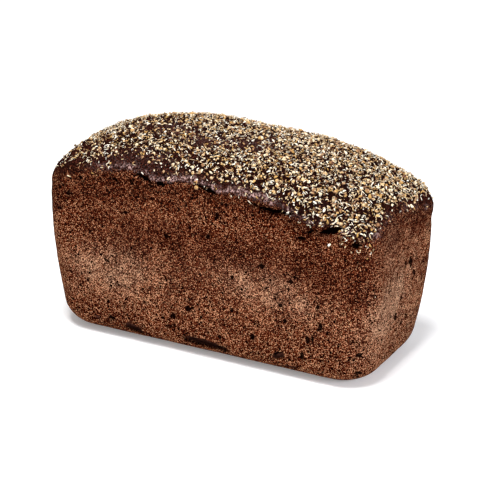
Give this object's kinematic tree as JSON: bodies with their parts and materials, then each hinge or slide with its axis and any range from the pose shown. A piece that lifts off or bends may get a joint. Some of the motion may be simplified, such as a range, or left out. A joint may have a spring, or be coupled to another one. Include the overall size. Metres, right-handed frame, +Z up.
{
  "type": "tin loaf",
  "caption": "Dark rye tin loaf: straight tapering walls with rounded corners, an arched crown with a crust lip, and torn and blown spots along its long face.",
  "frame": {"origin": "middle of the base, on the plane the loaf rests on", "axes": "+Z up, X along the length of the loaf, -Y out of the long face with the torn crust edge"},
  "size_m": [0.2116, 0.093, 0.1259],
  "materials": {
    "crust": null
  },
  "bodies": {
    "root": {"loaf": "crust"}
  },
  "joints": []
}
